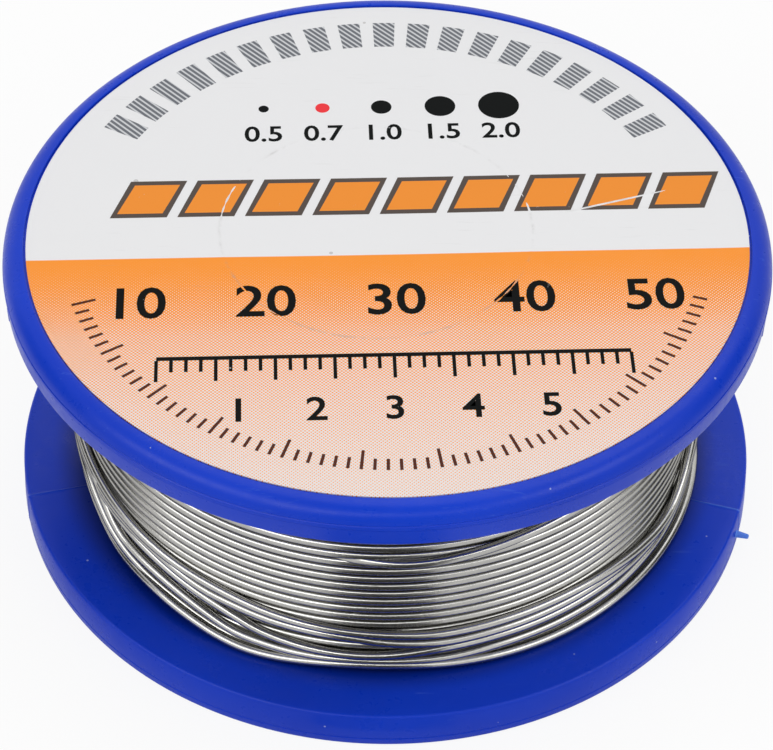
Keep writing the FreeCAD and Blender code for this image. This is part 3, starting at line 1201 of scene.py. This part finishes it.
# The last turns: the wire comes down over the back, then lies loosely round the package's lower half.
# Each line is one turn: azimuth, height and how far the wire's middle lies above the outer layer's.
looseTurns = {
    "steps": 210,
    "sides": 14,
    "points": [
        # Down over the back, under the outer layer's turns, then out between them and up again
        (200, 20.25, 0.0), (230, 20.2, 0.40), (260, 20.1, 0.60), (300, 19.8, 0.60), (360, 19.0, 0.60),
        (400, 17.6, 0.60), (440, 16.2, 0.60), (470, 15.2, 0.50), (490, 14.6, 0.0), (510, 14.2, -0.55),
        (560, 13.75, -0.62), (605, 13.78, -0.62), (618, 13.80, -0.45), (626, 13.84, 0.10), (633, 13.90, 0.50),
        (640, 14.10, 0.60), (646, 14.40, 0.62), (656, 14.90, 0.62), (672, 15.6, 0.60), (705, 15.0, 0.60),
        (760, 13.0, 0.60), (820, 11.2, 0.60), (880, 9.9, 0.60), (920, 9.0, 0.60),
        # First loose turn
        (938, 8.35, 0.60), (946, 8.10, 0.60), (960, 7.75, 0.60), (970, 7.30, 0.60), (982, 6.90, 0.60),
        (990, 6.75, 0.62), (998, 6.60, 0.64), (1005, 6.66, 0.64), (1015, 6.78, 0.64), (1025, 6.76, 0.64),
        (1035, 6.50, 0.68), (1043, 6.15, 0.72), (1049, 5.95, 0.76), (1054, 6.20, 0.78), (1058, 6.85, 0.78),
        (1063, 7.70, 0.74), (1080, 9.0, 0.68), (1140, 9.5, 0.64), (1200, 9.6, 0.62), (1250, 9.0, 0.60),
        (1290, 8.1, 0.60),
        # Second
        (1306, 7.70, 0.60), (1312, 7.26, 0.60), (1317, 6.97, 0.60), (1322, 6.87, 0.60), (1330, 6.60, 0.60),
        (1338, 6.45, 0.60), (1345, 6.25, 0.60), (1350, 5.95, 0.60), (1359, 5.68, 0.60), (1370, 5.83, 0.60),
        (1380, 5.95, 0.60), (1390, 5.98, 0.60), (1400, 5.85, 0.55), (1410, 5.9, 0.50), (1425, 6.5, 0.55),
        (1460, 7.6, 0.62), (1520, 8.3, 0.66), (1590, 8.9, 0.66), (1635, 8.2, 0.64),
        # Third
        (1661, 7.27, 0.60), (1672, 6.56, 0.60), (1682, 5.76, 0.60), (1687, 5.15, 0.60), (1693, 4.75, 0.60),
        (1700, 4.49, 0.60), (1710, 4.52, 0.60), (1715, 4.74, 0.60), (1720, 5.00, 0.60), (1725, 5.14, 0.60),
        (1740, 5.28, 0.60), (1755, 5.30, 0.60), (1768, 5.35, 0.60), (1778, 6.0, 0.62), (1790, 6.9, 0.66),
        (1820, 7.6, 0.68), (1880, 8.3, 0.68), (1950, 8.6, 0.66), (2000, 8.5, 0.66), (2006, 8.2, 0.66),
        # Fourth
        (2008, 7.50, 0.66), (2011, 6.57, 0.66), (2014, 6.00, 0.66), (2019, 5.72, 0.66), (2025, 5.55, 0.66),
        (2030, 5.28, 0.66), (2036, 4.80, 0.68), (2043, 4.12, 0.70), (2050, 3.98, 0.70), (2065, 3.95, 0.62),
        (2082, 3.98, 0.60), (2090, 4.18, 0.60), (2105, 4.22, 0.60), (2115, 4.24, 0.62), (2125, 4.50, 0.62),
        (2132, 4.85, 0.64), (2138, 5.6, 0.66), (2144, 6.6, 0.68), (2160, 7.4, 0.70), (2230, 8.0, 0.70),
        (2300, 8.0, 0.70), (2345, 7.4, 0.66),
        # Fifth, mostly behind the last
        (2360, 6.45, 0.58), (2365, 5.75, 0.55), (2370, 4.98, 0.55), (2375, 4.45, 0.50), (2380, 4.20, 0.45),
        (2390, 3.89, 0.42), (2395, 3.62, 0.45), (2400, 3.38, 0.50), (2410, 3.36, 0.50), (2425, 3.36, 0.20),
        (2445, 3.36, 0.18), (2460, 3.36, 0.30), (2500, 3.38, 0.36), (2520, 3.95, 0.50), (2560, 4.7, 0.58),
        (2620, 5.6, 0.60), (2680, 6.2, 0.58), (2708, 6.0, 0.52),
        # Last, on the flange
        (2717, 5.7, 0.50), (2721, 5.1, 0.50), (2726, 4.45, 0.50), (2730, 4.05, 0.54), (2735, 3.80, 0.60),
        (2740, 3.96, 0.75), (2745, 4.05, 0.90), (2750, 3.98, 1.04), (2755, 3.75, 1.10), (2760, 3.47, 1.15),
        (2765, 3.37, 1.20), (2770, 3.37, 1.09), (2775, 3.44, 0.92), (2780, 3.59, 0.82), (2790, 3.72, 0.76),
        (2795, 3.66, 0.76), (2800, 3.56, 0.80), (2810, 3.42, 0.88), (2820, 3.36, 0.95), (2840, 3.36, 1.00),
        (2855, 3.36, 0.96), (2880, 3.36, 0.82), (2910, 3.36, 0.71), (2920, 3.36, 0.70),
    ],
}


def smoothPath(points, steps):  # an even curve through the points, by piecewise cubics
    knots = np.array(points, float)
    turned = knots[:, 0]
    samples = np.arange(turned[0], turned[-1] + 1e-6, 360 / steps)
    gaps = np.diff(turned)
    spans = np.clip(np.searchsorted(turned, samples, side="right") - 1, 0, len(gaps) - 1)
    run = gaps[spans]
    t = (samples - turned[spans]) / run
    values = []
    for y in (knots[:, 1], knots[:, 2]):
        slopes = np.diff(y) / gaps
        tangents = np.zeros(len(y))
        tangents[1:-1] = (slopes[:-1] * gaps[1:] + slopes[1:] * gaps[:-1]) / (gaps[1:] + gaps[:-1])
        here = (2 * t ** 3 - 3 * t ** 2 + 1) * y[spans] + (t ** 3 - 2 * t ** 2 + t) * run * tangents[spans]
        there = (3 * t ** 2 - 2 * t ** 3) * y[spans + 1] + (t ** 3 - t ** 2) * run * tangents[spans + 1]
        values.append(here + there)
    return np.radians(samples), values[0], values[1]


def layLooseTurns(shape):
    angles, heights, lifts = smoothPath(shape["points"], shape["steps"])
    heights = np.clip(heights, channelLow + wireRadius, channelHigh - wireRadius)
    radii = packRadius - wireRadius + lifts
    curve = bpy.data.curves.new("looseTurns", "CURVE")
    curve.dimensions = "3D"
    spline = curve.splines.new("POLY")
    spline.points.add(len(angles) - 1)
    points = np.stack([radii * np.cos(angles), radii * np.sin(angles), heights], 1) * mm
    spline.points.foreach_set("co", np.column_stack([points, np.ones(len(points))]).ravel())
    holder = addObject("looseTurns", curve)
    piece = growPiece(holder, tubeTree, {"Sides": shape["sides"], "Wire radius": wireRadius * mm,
                                         "Material": solderWire})
    length = np.linalg.norm(np.diff(points, axis=0), axis=1).sum()
    print("loose turns", round(float(length), 3), "m,", len(piece.data.polygons), "faces")
    return finishPiece(piece, "solder", "wire_loose_turns")


layLooseTurns(looseTurns)


# The wire's two ends are the CAD's own
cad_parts["wire_cut_end"].data.materials[0] = solderWire
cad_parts["wire_start_end"].data.materials[0] = solderWire
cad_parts["wire_flux_cores"].data.materials[0] = rosinFlux
print("wire ready")


# A pale floor, soft studio light, and dark cards that only the wire and the plastic reflect
studio = {
    "floorSize": 6000.0,
    "floorTones": (0.90, 0.92),
    "floorGrain": 300.0,
    "floorRoughness": 0.9,
    "floorLift": 0.88,
    "floorGlint": 0.5,
    "world": 0.42,
    "boxDistance": 600.0,
    "boxes": {  # azimuth, elevation, width, height, radiance
        "leftBox": (-138.0, 41.0, 620.0, 190.0, 3.0),
        "rightBox": (-30.0, 41.0, 340.0, 190.0, 3.0),
        "frontBox": (-86.0, 42.0, 360.0, 80.0, 2.2),
        "topBox": (70.0, 70.0, 500.0, 500.0, 1.4),
    },
    "cardShade": 0.06,
    "cardDistance": 588.0,
    "cards": {  # azimuth, elevation, width, height
        "frontCardLow": (-91.0, 16.0, 300.0, 430.0),
        "frontCardHigh": (-91.0, 63.0, 300.0, 330.0),
        "leftCard": (168.0, 18.0, 330.0, 420.0),
        "rightCard": (12.0, 18.0, 330.0, 420.0),
    },
    "floorCard": (-29.0, 6.0, -590.0, 150.0),  # near edge and half its width, far edge and half its width
    "floorCardLift": 0.1,
}


def aim(azimuth, elevation, distance):
    a, e = math.radians(azimuth), math.radians(elevation)
    outwards = Vector((math.cos(a) * math.cos(e), math.sin(a) * math.cos(e), math.sin(e)))
    turn = outwards.to_track_quat("Z", "Y").to_matrix().to_4x4()
    return Matrix.Translation(outwards * distance * mm) @ turn


def sheetMesh(name, width, height):
    x, y = width / 2, height / 2
    return meshFrom(name, [(-x, -y, 0), (x, -y, 0), (x, y, 0), (-x, y, 0)], [(0, 1, 2, 3)])


def makeFloor(setup):
    mesh = sheetMesh("floor", setup["floorSize"], setup["floorSize"])
    floor = addObject("floor", mesh)
    material = bpy.data.materials.new("paleFloor")
    material.use_nodes = True
    tree = material.node_tree
    shader = tree.nodes["Principled BSDF"]
    coords = addNode(tree, "ShaderNodeTexCoord").outputs["Object"]
    tones = [(tone, tone, tone, 1.0) for tone in setup["floorTones"]]
    colour = mixColour(tree, noise(tree, coords, setup["floorGrain"]), *tones)
    tree.links.new(colour, shader.inputs["Base Color"])
    shader.inputs["Roughness"].default_value = setup["floorRoughness"]
    shader.inputs["Specular IOR Level"].default_value = 0.0
    path = addNode(tree, "ShaderNodeLightPath").outputs
    glow = addNode(tree, "ShaderNodeEmission", {"Color": (1.0, 1.0, 1.0, 1.0), "Strength": 1.0})
    mirrored = calc(tree, "MAXIMUM", path["Is Glossy Ray"], path["Is Transmission Ray"])
    lift = calc(tree, "MAXIMUM", calc(tree, "MULTIPLY", path["Is Camera Ray"], setup["floorLift"]),
                calc(tree, "MULTIPLY", mirrored, setup["floorGlint"]))
    mix = addNode(tree, "ShaderNodeMixShader", {0: lift, 1: shader.outputs[0], 2: glow.outputs[0]})
    tree.links.new(mix.outputs[0], tree.nodes["Material Output"].inputs["Surface"])
    mesh.materials.append(material)


def makeWorld(setup):
    world = bpy.data.worlds.new("studio")
    scene.world = world
    world.use_nodes = True
    tree = world.node_tree
    path = addNode(tree, "ShaderNodeLightPath").outputs
    seen = calc(tree, "MAXIMUM", calc(tree, "MAXIMUM", path["Is Camera Ray"], path["Is Glossy Ray"]),
                path["Is Transmission Ray"])
    strength = remap(tree, seen, 0.0, 1.0, setup["world"], 1.0)
    background = tree.nodes["Background"]
    background.inputs["Color"].default_value = (1.0, 1.0, 1.0, 1.0)
    tree.links.new(strength, background.inputs["Strength"])


def makeLights(setup):
    for name, (azimuth, elevation, width, height, radiance) in setup["boxes"].items():
        lamp = bpy.data.lights.new(name, "AREA")
        lamp.shape = "RECTANGLE"
        lamp.size = width * mm
        lamp.size_y = height * mm
        lamp.energy = math.pi * radiance * width * height * mm * mm
        light = addObject(name, lamp)
        light.matrix_world = aim(azimuth, elevation, setup["boxDistance"])
        light.visible_camera = False


def makeCards(setup):
    material = bpy.data.materials.new("darkCard")
    material.use_nodes = True
    tree = material.node_tree
    tree.nodes.remove(tree.nodes["Principled BSDF"])
    glow = addNode(tree, "ShaderNodeEmission", {"Color": (setup["cardShade"],) * 3 + (1.0,), "Strength": 1.0})
    tree.links.new(glow.outputs[0], tree.nodes["Material Output"].inputs["Surface"])
    sheets = []
    for name, (azimuth, elevation, width, height) in setup["cards"].items():
        mesh = sheetMesh(name, width, height)
        mesh.transform(aim(azimuth, elevation, setup["cardDistance"]))
        sheets.append((name, mesh))
    near, nearHalf, far, farHalf = setup["floorCard"]
    lift = setup["floorCardLift"]
    corners = [(-nearHalf, near, lift), (nearHalf, near, lift), (farHalf, far, lift), (-farHalf, far, lift)]
    sheets.append(("floorCard", meshFrom("floorCard", corners, [(0, 1, 2, 3)])))
    for name, mesh in sheets:
        mesh.materials.append(material)
        card = addObject(name, mesh)
        for flag in ("visible_camera", "visible_diffuse", "visible_shadow", "visible_transmission"):
            setattr(card, flag, False)


makeFloor(studio)
makeWorld(studio)
makeLights(studio)
makeCards(studio)
print("studio ready")

bpy.context.view_layer.update()
